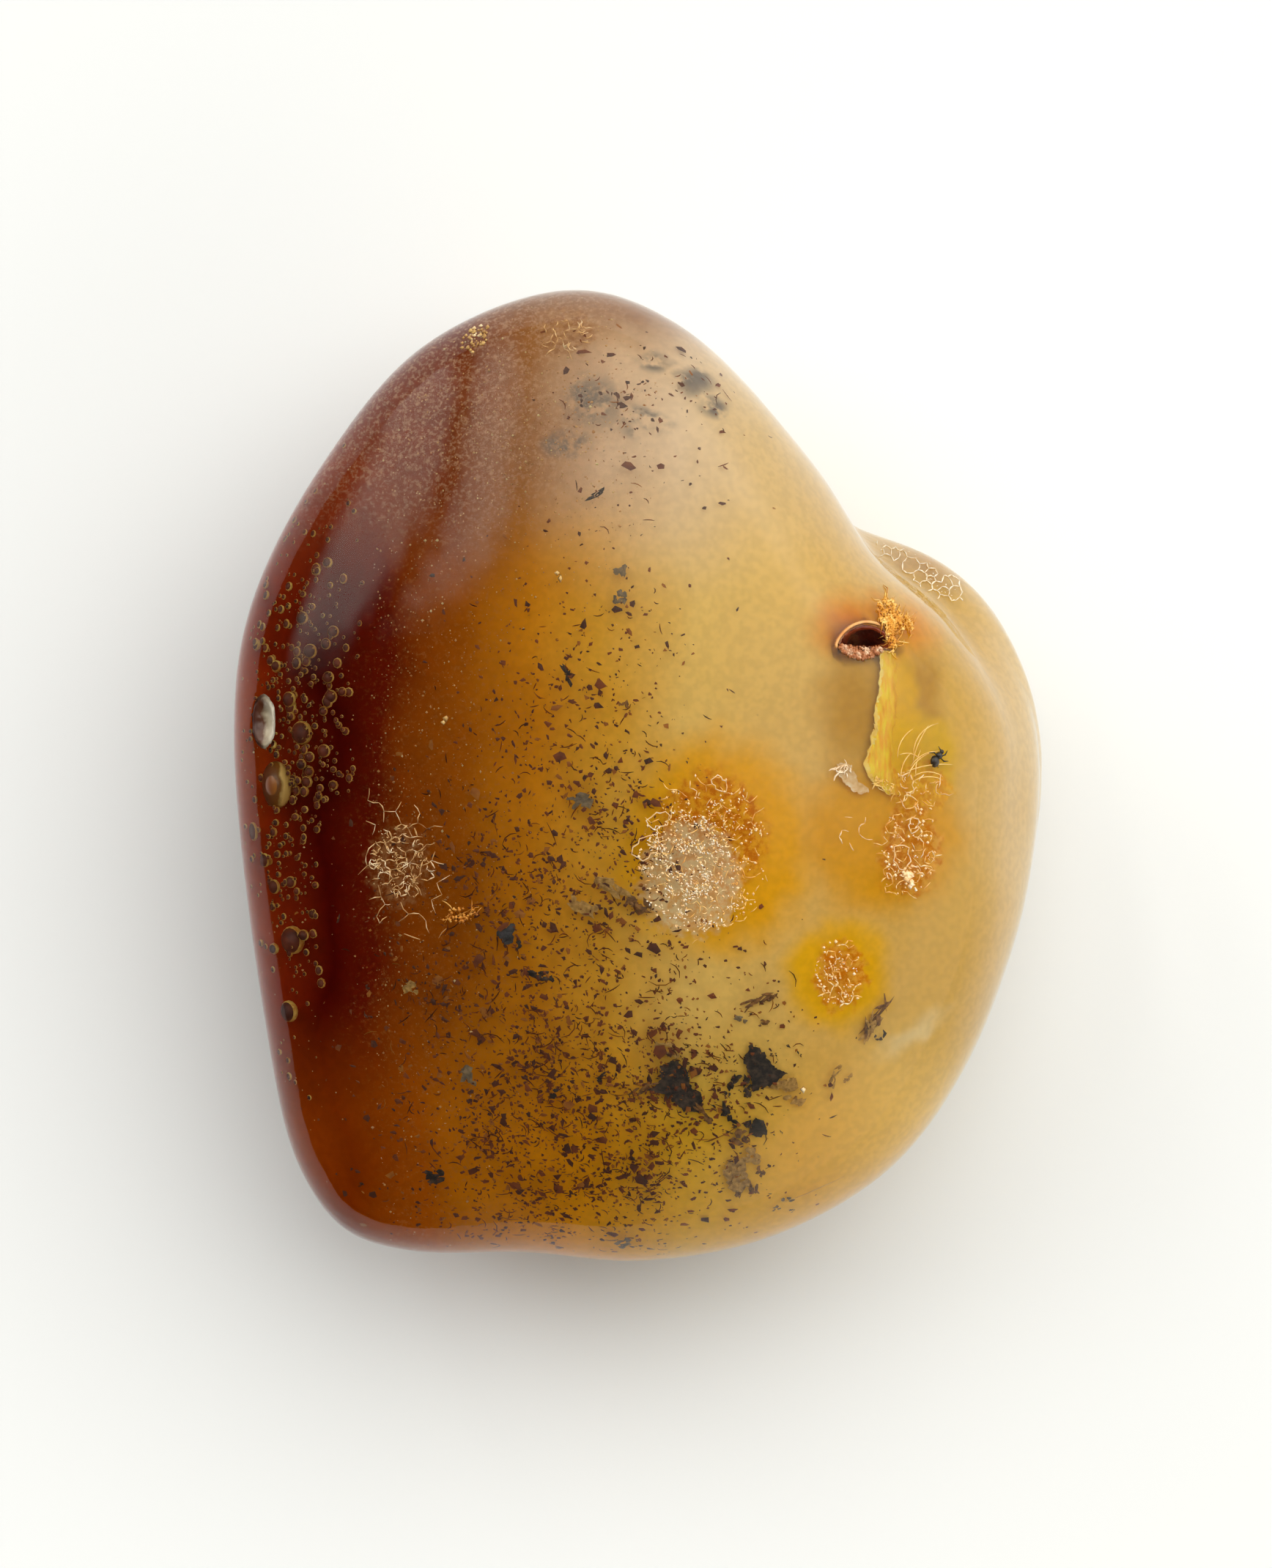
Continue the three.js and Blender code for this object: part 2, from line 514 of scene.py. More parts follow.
def add_cloud():
    """The cloudy and dark amber that shows through the clear skin."""
    mesh = smooth_surface(1)
    points = read_vectors(mesh.vertices, "co")
    facing = read_vectors(mesh.vertex_normals, "vector")
    x, y = points[:, 0] / MM, points[:, 1] / MM
    billow = np.array([noise.fractal(Vector(p) / BILLOW_SIZE, 0.6, 2.0, 3) for p in points])
    front = smooth_share(facing[:, 2], *FRONT_EDGES)
    level = 0.3 + 0.7 * smooth_share(np.abs(facing[:, 2]), 0.1, 0.75)
    depth = clear_depth(x, y) * level * (1 + BILLOW * billow) + 1.2 * front * dent_at(x, y, 1.5)
    sink(mesh, points, facing, depth)
    mesh.materials.append(cloud_material())
    place_piece("cloudy_amber", mesh)


# Below this height the cloudy amber's bands lean by so much for each millimetre, and its tints fade
FLANK_TOP = 8.0
FLANK_LEAN = 0.45
FLANK_FADE = 0.25
# The cloudy amber's colours from left to right, at the top, the middle and the bottom
BAND_SPAN = (-17, 17)
TOP_COLOURS = [
    (-16, (132, 48, 20)), (-11, (98, 38, 20)), (-7.5, (90, 36, 18)), (-4.5, (122, 78, 46)),
    # The pale pink-grey at -1.5 and 1.5 is partly a painted reflection: the pinkish sheen on the top
    (-1.5, (192, 154, 124)), (1.5, (206, 172, 138)), (5, (200, 162, 106)), (17, (192, 152, 98)),
]
MIDDLE_COLOURS = [
    (-17, (140, 48, 4)), (-15, (104, 26, 3)), (-12.8, (54, 2, 0)), (-10.8, (74, 14, 1)),
    (-9.6, (108, 46, 2)), (-7.5, (128, 64, 4)), (-4.5, (182, 104, 14)), (-1.5, (214, 142, 40)),
    # The row's paler right end is partly painted light: the glow of light through the thin right edge
    (1.5, (220, 170, 82)), (8, (200, 152, 76)), (13, (188, 140, 58)), (17, (216, 184, 136)),
]
BOTTOM_COLOURS = [
    (-16, (136, 54, 2)), (-12.5, (98, 34, 0)), (-9, (140, 64, 0)), (-3, (238, 126, 12)),
    # The row's paler right end is partly painted light: the glow of light through the thin right edge
    (2, (254, 154, 34)), (7, (240, 154, 54)), (16, (238, 184, 94)),
]
# Tints of the cloudy amber, and one painted reflection: place, half size, the share of it that is even,
# colour, strength and turn
HALOS_AND_PAINTED_STREAK = [
    ((3.0, -2.8), (4.8, 5.4), 0.6, (222, 138, 0), 0.95, 0),
    ((8.1, -8.1), (2.7, 3.0), 0.5, (232, 150, 0), 0.95, 0),
    ((9.8, -2.4), (4.2, 4.0), 0.5, (198, 124, 0), 0.9, 0),
    ((9.4, 5.9), (3.2, 2.4), 0.1, (214, 132, 20), 0.9, 0),
    ((8.5, 6.2), (2.4, 1.9), 0.0, (192, 90, 4), 0.95, 0),
    ((11.0, 6.0), (1.8, 1.6), 0.0, (210, 112, 14), 0.9, 0),
    ((8.7, 2.8), (2.3, 3.4), 0.2, (152, 102, 14), 0.85, 0),
    ((11.4, 3.4), (1.5, 2.4), 0.3, (142, 98, 24), 0.8, 0),
    ((10.6, 3.0), (1.0, 3.0), 0.4, (204, 142, 8), 0.8, 0),
    ((11.2, 0.9), (2.4, 2.2), 0.5, (202, 146, 4), 0.85, 0),
    # A pale streak at the lower right: a painted reflection on the flank, not a tint of the amber
    ((11.2, -10.6), (2.6, 0.7), 0.0, (238, 204, 146), 0.6, 36),
    ((-0.8, 20.0), (8.0, 3.2), 0.2, (104, 62, 30), 0.8, 0),
    ((12.0, 9.3), (2.9, 1.4), 0.3, (146, 100, 58), 0.85, -32),
]
# Crusts that show through: place, half size, dark and light colour, and strength
CRUSTS = [
    ((2.9, -2.4), (2.6, 3.0), (172, 80, 2), (224, 138, 26), 0.9),
    ((2.0, -4.2), (2.4, 2.6), (212, 148, 90), (246, 202, 148), 0.85),
    ((8.1, -8.15), (1.2, 1.65), (190, 92, 2), (224, 140, 44), 0.9),
    ((11.0, -3.0), (1.5, 2.2), (178, 88, 4), (216, 138, 44), 0.8),
    ((11.4, -0.4), (1.5, 1.1), (192, 108, 2), (228, 154, 26), 0.85),
    ((-9.9, -3.7), (1.5, 1.9), (92, 46, 18), (150, 104, 70), 0.6),
    ((-3.1, 18.2), (1.3, 1.1), (104, 62, 36), (152, 106, 70), 0.5),
]
CRUST_EVEN = 0.7
# Grey-blue smears at the top, partly a painted grey reflection on the top of the front, and brown
# stains in the shreds' zone: place and half size
SMEARS_AND_REFLECTION = [
    ((-1.9, 15.3), (1.9, 1.4)), ((0.4, 16.9), (1.0, 0.7)), ((2.0, 16.2), (1.2, 0.8)),
    ((2.9, 15.2), (0.9, 0.7)), ((0.2, 14.5), (1.6, 0.8)), ((-2.9, 13.6), (1.3, 0.9)),
]
STAINS = [
    ((-2.4, -10.5), (7.5, 10.5)), ((-0.8, -4.6), (2.4, 2.2)), ((-2.6, -1.2), (1.6, 2.4)),
]
PATCH_EVEN = 0.2
STAIN_COLOUR = (118, 60, 4)
SMEAR_AND_REFLECTION_COLOUR = (86, 82, 80)
DUST_COLOUR = (140, 88, 50)
FILM_COLOUR = (172, 132, 106)


def cloud_material():
    material, graph, shader = new_material("cloudy_amber")
    place = graph.millimetres()

    def jostled(scale, amount):
        """The place's X, Y and Z, with X and Y shifted by a noise."""
        stir = graph.add("ShaderNodeTexNoise", {"Vector": place, "Scale": scale, "Detail": 1.0})
        stir = graph.vector("SUBTRACT", stir.outputs["Color"], (0.5, 0.5, 0.5))
        shift = graph.vector("MULTIPLY", stir, (amount, amount, 0))
        return graph.split(graph.vector("ADD", place, shift))

    def on_front(scale, amount):
        """Jostled places for blobs, which leave every blob on the way down the flanks."""
        u, v, _ = jostled(scale, amount)
        return graph.join(u, v, sunk)

    def bands(colours):
        stops = [(left, under_skin(*colour)) for left, colour in colours]
        return graph.ramp(x, *BAND_SPAN, stops)

    def patches(ovals, strength):
        share = 0.0
        for at, half in ovals:
            blob = graph.blob(flat, at, half, PATCH_EVEN, strength)
            share = graph.math("MAXIMUM", share, blob)
        return share

    x, y, z = jostled(0.16, 3.4)
    lower = graph.math("MAXIMUM", graph.math("SUBTRACT", FLANK_TOP, z), 0.0)
    sunk = graph.times(lower, FLANK_FADE)
    x = graph.plus(x, graph.times(lower, FLANK_LEAN))
    colour = graph.mix(graph.step(y, 6.5, 13.5), bands(MIDDLE_COLOURS), bands(TOP_COLOURS))
    colour = graph.mix(graph.step(y, -9.0, -15.0), colour, bands(BOTTOM_COLOURS))
    flat = on_front(0.7, 1.2)
    # Tints, with the pale streak at the lower right that is a painted reflection
    for at, half, even, tint, strength, turn in HALOS_AND_PAINTED_STREAK:
        share = graph.blob(flat, at, half, even, strength, turn)
        colour = graph.mix(share, colour, under_skin(*tint))
    rough = on_front(2.6, 1.3)
    tone = graph.step(graph.noise(place, 3.2, 4, 0.7), 0.38, 0.62)
    for at, half, dark, light, strength in CRUSTS:
        share = graph.blob(rough, at, half, CRUST_EVEN, strength)
        colour = graph.mix(share, colour, graph.mix(tone, under_skin(*dark), under_skin(*light)))
    patchy = graph.step(graph.noise(place, 0.75, 3), 0.46, 0.66)
    stained = graph.times(patches(STAINS, 0.25), patchy)
    colour = graph.mix(stained, colour, under_skin(*STAIN_COLOUR))
    # Grey-blue smears at the top, partly a painted grey reflection
    torn = graph.step(graph.noise(place, 1.1, 3), 0.35, 0.54)
    smear_and_reflection = graph.times(patches(SMEARS_AND_REFLECTION, 0.95), torn)
    colour = graph.mix(smear_and_reflection, colour, under_skin(*SMEAR_AND_REFLECTION_COLOUR))
    dust = graph.noise(place, 5.5, 3, 0.75)
    dusty = graph.times(graph.step(dust, 0.5, 0.72, 0.0, 0.4), graph.step(x, -3.0, -7.0))
    dusty = graph.times(dusty, graph.step(x, -12.5, -9.5))
    colour = graph.mix(dusty, colour, under_skin(*DUST_COLOUR))
    film = graph.times(graph.step(dust, 0.45, 0.66, 0.0, 0.5), graph.step(y, 9.0, 13.5))
    film = graph.times(film, graph.step(x, 1.0, -2.5))
    colour = graph.mix(film, colour, under_skin(*FILM_COLOUR))
    grain = graph.step(graph.noise(place, 3.0, 1), 0.3, 0.7, 0.95, 1.04)
    colour = graph.vector("MULTIPLY", colour, graph.join(grain, grain, grain))
    set_finish(graph, shader, colour, 0.6)
    shader.inputs["Specular IOR Level"].default_value = 0.0
    return material


def mottled(name, tint, colours, scale, roughness=0.55, spread=(0.3, 0.7)):
    """A material whose colour wanders between the given ones, which tint turns into light."""
    material, graph, shader = new_material(name)
    tone = graph.noise(graph.millimetres(), scale, 4)
    low, high = spread
    steps = len(colours) - 1
    stops = [(low + (high - low) * i / steps, tint(*colour)) for i, colour in enumerate(colours)]
    set_finish(graph, shader, graph.ramp(tone, low, high, stops), roughness)
    return material


def across_colours(name, tint, tones):
    """A material whose colour goes from left to right through the tones, unevenly."""
    material, graph, shader = new_material(name)
    place = graph.millimetres()
    shift = graph.times(graph.math("SUBTRACT", graph.noise(place, 1.8, 4), 0.5), 0.5)
    x = graph.plus(graph.split(place)["X"], shift)
    stops = [(left, tint(*colour)) for left, colour in tones]
    set_finish(graph, shader, graph.ramp(x, tones[0][0], tones[-1][0], stops), 0.35)
    return material


def along_skin(facing, turn):
    """Two directions along the skin: one at an angle from +X, and one square to it."""
    angle = math.radians(turn)
    along = Vector((math.cos(angle), math.sin(angle), 0))
    along = (along - facing * along.dot(facing)).normalized()
    return along, facing.cross(along)


def add_shred(shapes, at, facing, turn, size, slot, corners):
    """A thin, flat, uneven scrap: size is its length, width and thickness."""
    along, across = along_skin(facing, turn)
    length, width, thickness = size
    points = [at + facing * (thickness / 2), at - facing * (thickness / 2)]
    for corner in range(corners):
        angle = 2 * math.pi * (corner + rng.uniform(-0.35, 0.35)) / corners
        reach = rng.uniform(0.35, 1.0) / 2
        points.append(
            at
            + along * (length * reach * math.cos(angle))
            + across * (width * reach * math.sin(angle))
        )
    faces = []
    for corner in range(corners):
        after = 2 + (corner + 1) % corners
        faces += [(0, 2 + corner, after), (1, after, 2 + corner)]
    shapes.add(points, faces, slot)


def add_thread(shapes, points, width, slot=0):
    """A thin three-sided thread through the points, pointed at both ends."""
    rings = []
    last = len(points) - 1
    for i, point in enumerate(points):
        ahead = (points[min(i + 1, last)] - points[max(i - 1, 0)]).normalized()
        side = ahead.cross(Vector((0.1, 0.05, 1))).normalized()
        rise = side.cross(ahead)
        half = width / 2 * (1.0 if 0 < i < last else 0.4)
        for k in range(3):
            angle = math.pi / 2 + 2 * math.pi * k / 3
            rings.append(point + side * (half * math.cos(angle)) + rise * (half * math.sin(angle)))
    faces = [(0, 1, 2), (3 * last + 2, 3 * last + 1, 3 * last)]
    for i in range(last):
        for k in range(3):
            a, b = 3 * i + k, 3 * i + (k + 1) % 3
            faces.append((a, a + 3, b + 3, b))
    shapes.add(rings, faces, slot)


def ring_face(ring, spoke, spokes):
    """A face of a net of rings round point 0, inside a ring: a triangle in the first one."""
    after = (spoke + 1) % spokes
    inner, outer = 1 + (ring - 1) * spokes, 1 + ring * spokes
    if ring == 0:
        return (0, outer + spoke, outer + after)
    return (inner + spoke, outer + spoke, outer + after, inner + after)


def add_ball(shapes, at, facing, radius, stretch, belt=0.5, *, rings, spokes):
    """A bubble, with its poles along the skin's normal: slot 1 round its belt, 0 at its poles."""
    along, across = along_skin(facing, 90)
    points = [at + facing * radius]
    for ring in range(1, rings):
        polar = math.pi * ring / rings
        for spoke in range(spokes):
            angle = 2 * math.pi * spoke / spokes
            flat = radius * math.sin(polar)
            points.append(
                at
                + facing * (radius * math.cos(polar))
                + along * (flat * stretch * math.cos(angle))
                + across * (flat * math.sin(angle))
            )
    points.append(at - facing * radius)
    faces = []
    slots = []
    last = len(points) - 1
    for ring in range(rings):
        middle = math.cos(math.pi * (ring + 0.5) / rings)
        for spoke in range(spokes):
            face = ring_face(ring, spoke, spokes)
            faces.append((face[3], face[0], last) if ring == rings - 1 else face)
            slots.append(1 if abs(middle) < belt else 0)
    shapes.add(points, faces, slots)


GRAIN_FACES = [(0, 2, 4), (2, 1, 4), (1, 3, 4), (3, 0, 4), (2, 0, 5), (1, 2, 5), (3, 1, 5), (0, 3, 5)]


def add_grain(shapes, at, size, slot=0):
    """A tiny grain with eight uneven faces."""
    points = []
    for axis in range(3):
        for sign in (1, -1):
            arm = [0.0, 0.0, 0.0]
            arm[axis] = sign * size * rng.uniform(0.3, 0.7)
            points.append(at + Vector(arm))
    shapes.add(points, GRAIN_FACES, slot)


# How far the rim of a net of threads wanders, as a share of its oval
RAGGED_RIM = 0.3


def crackle(place, spacing, keep, reach):
    """The sides of the rough cells that an oval is parted into, some left out: pairs of points."""
    wide = reach * max(place["half"]) * (1 + RAGGED_RIM) + 2 * spacing
    steps = int(2 * wide / spacing)
    seeds = []
    for i in range(steps):
        for j in range(steps):
            jitter = rng.uniform(-0.6, 0.6, 2)
            x = place["at"][0] - wide + spacing * (i + 0.5 * (j % 2) + jitter[0])
            y = place["at"][1] - wide + spacing * (j + jitter[1])
            seeds.append(Vector((x, y)))
    corners, _, faces, *_ = delaunay_2d_cdt(seeds, [], [], 0, 1e-4)
    middles = [sum((corners[i] for i in face), Vector((0, 0))) / 3 for face in faces]
    neighbours = {}
    for index, face in enumerate(faces):
        for a, b in zip(face, face[1:] + face[:1]):
            neighbours.setdefault((min(a, b), max(a, b)), []).append(index)
    segments = []
    for pair in neighbours.values():
        if len(pair) < 2:
            continue
        p, q = middles[pair[0]], middles[pair[1]]
        x, y = (p + q) / 2
        rim = RAGGED_RIM * noise.noise(Vector((x, y, spacing)) * 1.2)
        if oval_share(x, y, place) + rim < reach and rng.random() < keep:
            segments.append((p, q))
    return segments


def path_on_skin(flat_points, lift):
    """Points over the skin, each a little higher or lower than lift, or none past the edge."""
    path = []
    for x, y in flat_points:
        found = under(x, y, -lift * rng.uniform(0.5, 1.5))
        if found is None:
            return []
        path.append(found[0])
    return path


def add_skin_thread(shapes, flat_points, width, lift, slot):
    """A thread on the skin, of about the given width."""
    path = path_on_skin(flat_points, lift)
    if path:
        add_thread(shapes, path, width * rng.uniform(0.6, 1.4), slot)


def add_crackle(shapes, place, spacing, keep, width, lift, reach=1.0, slot=0):
    """A net of threads over an oval, with gaps."""
    for p, q in crackle(place, spacing, keep, reach):
        bend = (q - p).orthogonal() * rng.uniform(-0.12, 0.12)
        add_skin_thread(shapes, [p, (p + q) / 2 + bend, q], width, lift, slot)


# Short threads are left out where a noise is under this
PATCHY = -0.12


def add_squiggles(shapes, place, count, length, width, lift, reach=0.95, slot=0):
    """Short crooked threads, strewn over an oval."""
    for _ in range(count):
        x, y, _ = strewn(place, reach)
        if noise.noise(Vector((x, y, 7.0)) * 1.4) < PATCHY:
            continue
        heading = rng.uniform(0, 2 * math.pi)
        pace = length * rng.uniform(0.5, 1.5) / 3
        flat_points = [(x, y)]
        for _ in range(3):
            x += pace * math.cos(heading)
            y += pace * math.sin(heading)
            heading += rng.uniform(-1.0, 1.0)
            flat_points.append((x, y))
        add_skin_thread(shapes, flat_points, width, lift, slot)


def add_glints(shapes, place, count, length, lift, slot=0):
    """Tiny bright flecks, tipped every way, in slanting bands over an oval with an uneven rim."""
    for _ in range(count):
        x, y, share = strewn(place)
        found = under(x, y, -lift * rng.uniform(0.6, 1.6))
        band = uneven(0.5 * (x - y), 1.5 * (x + y), 5.0)
        rim = 0.78 + 0.5 * uneven(x, y, 2.0, 0.8)
        if found is None or share > rim or band < rng.uniform(-0.3, 0.3):
            continue
        tipped = (found[1] + Vector(rng.normal(0, 0.3, 3))).normalized()
        size = (length * rng.uniform(0.5, 1.6), length * rng.uniform(0.3, 0.7), 0.02)
        add_shred(shapes, found[0], tipped, rng.uniform(0, 180), size, slot, 5)


def add_crumbs(shapes, place, count, size, lift, slot=0):
    """Grains strewn over an oval."""
    for _ in range(count):
        x, y, _ = strewn(place)
        found = under(x, y, -lift)
        if found is not None:
            add_grain(shapes, found[0], size * rng.uniform(0.5, 1.5), slot)


# A pit's lining lies this far over the skin, and under it at its rim, past this share of the pit. The
# rim is as far out as its reach, and ragged by a share of that.
LINING_LIFT = 0.03
LINING_SUNK = 0.04
LINING_DIVE = 0.86
LINING_REACH = 1.03
LINING_RAGGED = 0.05


def add_lining(name, hollow, materials, limits, rings, spokes):
    """A film over a pit's floor and wall that dives under the skin at its ragged rim. Materials
    follow each other outwards, each but the last as far as its limit, a share of the pit."""
    points = [front_at(*in_oval(hollow, 0, 0))[0] + Vector((0, 0, LINING_LIFT))]
    for ring in range(1, rings + 1):
        share = LINING_REACH * ring / rings
        dive = float(smooth_share(share, LINING_DIVE, LINING_REACH))
        rise = LINING_LIFT - (LINING_LIFT + LINING_SUNK) * dive
        for spoke in range(spokes):
            angle = 2 * math.pi * spoke / spokes
            u, v = math.cos(angle), math.sin(angle)
            out = share * (1 + LINING_RAGGED * uneven(u, v, hollow["depth"], 3.0, 0.4, 4))
            x, y = in_oval(hollow, out * u, out * v)
            place, facing = front_at(x, y)
            points.append(place + facing * (rise + 0.03 * uneven(x, y, 0, 3.0)))
    faces = []
    slots = []
    for ring in range(rings):
        share = LINING_REACH * (ring + 0.5) / rings
        slots += [sum(share > limit for limit in limits)] * spokes
        faces += [ring_face(ring, spoke, spokes) for spoke in range(spokes)]
    shapes = Shapes()
    shapes.add(points, faces, slots)
    shapes.piece(name, *materials)


LOOP_STEPS = 14


def add_loop(shapes, at, radius, width, lift, slot):
    """A thread that closes to an uneven ring on the skin."""
    x, y = at
    flat_points = []
    for step in range(LOOP_STEPS + 1):
        angle = 2 * math.pi * step / LOOP_STEPS
        reach = radius * (1 + 0.25 * math.sin(2 * angle + x) + 0.15 * math.sin(5 * angle + y))
        flat_points.append((x + reach * math.cos(angle), y + reach * math.sin(angle)))
    add_thread(shapes, path_on_skin(flat_points, lift), width, slot)


GOLDEN_THREADS = [(228, 148, 46), (250, 204, 116), (255, 244, 206)]
PALE_THREADS = [(224, 166, 100), (248, 212, 158), (255, 250, 234)]
BROWN_THREADS = [(150, 100, 52), (220, 176, 116), (255, 238, 206)]
# The white flecks are partly painted glints: their near-white stands for light sparkling off the crusts'
# crystals
WHITE_FLECKS_AND_GLINTS = [(255, 232, 190), (255, 255, 250)]
# Rings of thread in the nets: place and radius
BIG_LOOPS = [((0.2, -2.9), 0.5), ((0.7, -1.8), 0.38), ((3.2, -0.3), 0.3)]
RIGHT_LOOPS = [((10.7, -3.3), 0.42), ((11.2, -2.0), 0.26)]
LOOP_WIDTH = 0.065
# A tight cluster of large pale crumbs on the right net: a painted glint
RIGHT_PAINTED_GLINT = oval((10.95, -4.2), (0.18, 0.35), 20)


def add_crusts():
    """The nets of golden and pale threads and flecks on the crusted places."""
    golden = mottled("golden_threads", srgb, GOLDEN_THREADS, 1.6, 0.35)
    pale = mottled("pale_threads", srgb, PALE_THREADS, 2.2, 0.35)
    dull = mottled("brown_threads", srgb, BROWN_THREADS, 1.6, 0.35)
    # White flecks, partly painted glints
    white_and_glints = mottled("white_flecks_and_painted_glints", srgb, WHITE_FLECKS_AND_GLINTS, 2.0, 0.3)
    big, small, right = PITS["big"], PITS["small"], PITS["right"]
    pale_patch, fan, left, top = (PATCHES[name] for name in ("pale", "fan", "left", "top"))
    net = Shapes()
    add_crackle(net, big, 0.5, 0.4, 0.05, 0.03, 0.98)
    add_squiggles(net, big, 60, 0.24, 0.05, 0.03)
    add_glints(net, big, 1300, 0.15, 0.03)
    add_glints(net, pale_patch, 1100, 0.15, 0.04, slot=1)
    add_glints(net, pale_patch, 800, 0.16, 0.06, slot=2)
    add_glints(net, big, 200, 0.14, 0.06, slot=2)
    add_crumbs(net, pale_patch, 120, 0.1, 0.03, slot=1)
    add_crumbs(net, big, 120, 0.1, 0.03, slot=1)
    for at, radius in BIG_LOOPS:
        add_loop(net, at, radius, LOOP_WIDTH, 0.03, slot=1)
    net.piece("big_pit_net", golden, pale, white_and_glints)
    net = Shapes()
    add_crackle(net, small, 0.38, 0.6, 0.07, 0.03, 0.98)
    add_glints(net, small, 160, 0.16, 0.03, slot=1)
    add_crumbs(net, small, 40, 0.11, 0.03, slot=1)
    net.piece("small_pit_net", golden, pale)
    net = Shapes()
    add_crackle(net, right, 0.44, 0.65, 0.06, 0.03, 1.05)
    add_squiggles(net, right, 24, 0.32, 0.06, 0.03, slot=1)
    add_glints(net, right, 170, 0.15, 0.03, slot=1)
    add_crumbs(net, right, 60, 0.11, 0.03, slot=1)
    for at, radius in RIGHT_LOOPS:
        add_loop(net, at, radius, LOOP_WIDTH, 0.03, slot=1)
    # The painted glint on the right net
    add_crumbs(net, RIGHT_PAINTED_GLINT, 16, 0.22, 0.03, slot=1)
    add_crackle(net, PATCHES["wisps"], 0.5, 0.4, 0.055, 0.02, slot=1)
    add_crackle(net, fan, 0.44, 0.6, 0.06, 0.02)
    add_squiggles(net, fan, 16, 0.4, 0.055, 0.02, slot=1)
    add_glints(net, fan, 70, 0.14, 0.02, slot=1)
    net.piece("right_pit_net", golden, pale)
    net = Shapes()
    add_crackle(net, left, 0.4, 0.6, 0.065, 0.02)
    add_squiggles(net, left, 50, 0.25, 0.055, 0.02)
    add_glints(net, left, 420, 0.14, 0.02)
    add_crackle(net, PATCHES["left_wide"], 0.72, 0.6, 0.055, 0.02)
    net.piece("left_net", dull)
    net = Shapes()
    add_crackle(net, top, 0.42, 0.55, 0.06, 0.02)
    add_squiggles(net, top, 24, 0.32, 0.055, 0.02)
    net.piece("top_net", dull)
    net = Shapes()
    add_crackle(net, PATCHES["groove"], 0.42, 0.92, 0.075, 0.03)
    add_glints(net, PATCHES["groove"], 120, 0.16, 0.03)
    net.piece("groove_net", white_and_glints)


# The lip over the hole goes round it from the first of these angles to the second
LIP_ANGLES = (190, 65)
LIP_POINTS = 25
# The crumbly ledge under the hole, and the tuft beside it: its parts with their counts of grains, and
# its single fibres from end to end
LEDGE = oval((8.95, 5.12), (0.9, 0.3), -3, -0.12)
TUFT_PARTS = [
    (oval((10.2, 6.75), (0.5, 0.65), 10), 150),
    (oval((10.75, 6.3), (0.55, 0.35), 10), 60),
    (oval((10.3, 5.75), (0.2, 0.7), 4), 60),
]
TUFT_FIBRES = [
    ((10.45, 6.2), (11.2, 6.95)), ((10.6, 6.4), (11.45, 6.85)), ((10.6, 6.1), (11.3, 6.25)),
    ((10.5, 6.3), (10.95, 7.1)),
]


def add_hole():
    """The slit-shaped hole: its lining, the pale lip over it, the crumbly lip under it, and a tuft."""
    hole = PITS["hole"]
    # The lining darkens from its edge to its floor: painted shade in the hole
    floor = mottled("hole_floor_painted_shade", srgb, [(26, 4, 2), (70, 18, 6)], 1.5, 0.35)
    wall = mottled("hole_wall_painted_shade", srgb, [(98, 32, 10), (150, 66, 30)], 1.5, 0.35)
    edge = mottled("hole_edge", srgb, [(176, 92, 24), (214, 146, 72)], 1.5, 0.4)
    add_lining("hole_lining", hole, [floor, wall, edge], [0.72, 0.98], rings=26, spokes=96)
    arch = []
    first, last = LIP_ANGLES
    for i in range(LIP_POINTS):
        angle = math.radians(first + (last - first) * i / (LIP_POINTS - 1))
        found = under(*in_oval(hole, 1.16 * math.cos(angle), 1.3 * math.sin(angle)), -0.01)
        arch.append(found[0])
    lip = Shapes()
    add_thread(lip, arch, 0.2)
    lip.piece("hole_upper_lip", mottled("pale_lip", srgb, [(206, 130, 56), (240, 190, 122)], 1.8, 0.4))
    pink = mottled("crumbs", srgb, [(116, 52, 22), (180, 112, 66), (252, 226, 196)], 2.8, 0.35)
    crumbs = Shapes()
    add_crumbs(crumbs, LEDGE, 220, 0.16, 0.02)
    add_squiggles(crumbs, LEDGE, 40, 0.25, 0.05, 0.03)
    crumbs.piece("hole_lower_lip", pink)
    yellow = mottled("yellow_tuft", srgb, [(186, 104, 12), (226, 162, 52), (250, 214, 130)], 2.4)
    tuft = Shapes()
    for part, count in TUFT_PARTS:
        add_crumbs(tuft, part, count, 0.13, 0.02)
        add_squiggles(tuft, part, count // 2, 0.5, 0.065, 0.04)
    for start, end in TUFT_FIBRES:
        middle = ((start[0] + end[0]) / 2 + 0.06, (start[1] + end[1]) / 2 - 0.05)
        add_thread(tuft, path_on_skin([start, middle, end], 0.05), 0.045)
    tuft.piece("tuft", yellow)


# The golden strip below the hole: left and right edge at each height
STRIP = [
    (5.2, 9.85, 10.7), (4.4, 9.85, 10.78), (3.4, 9.72, 10.85), (2.4, 9.6, 10.8), (1.85, 9.52, 10.7),
    (1.2, 9.35, 10.65), (0.55, 9.12, 10.7), (0.1, 9.25, 10.75), (-0.3, 9.45, 10.8), (-0.75, 10.2, 10.9),
]
STRIP_ROWS = 70
STRIP_COLUMNS = 22


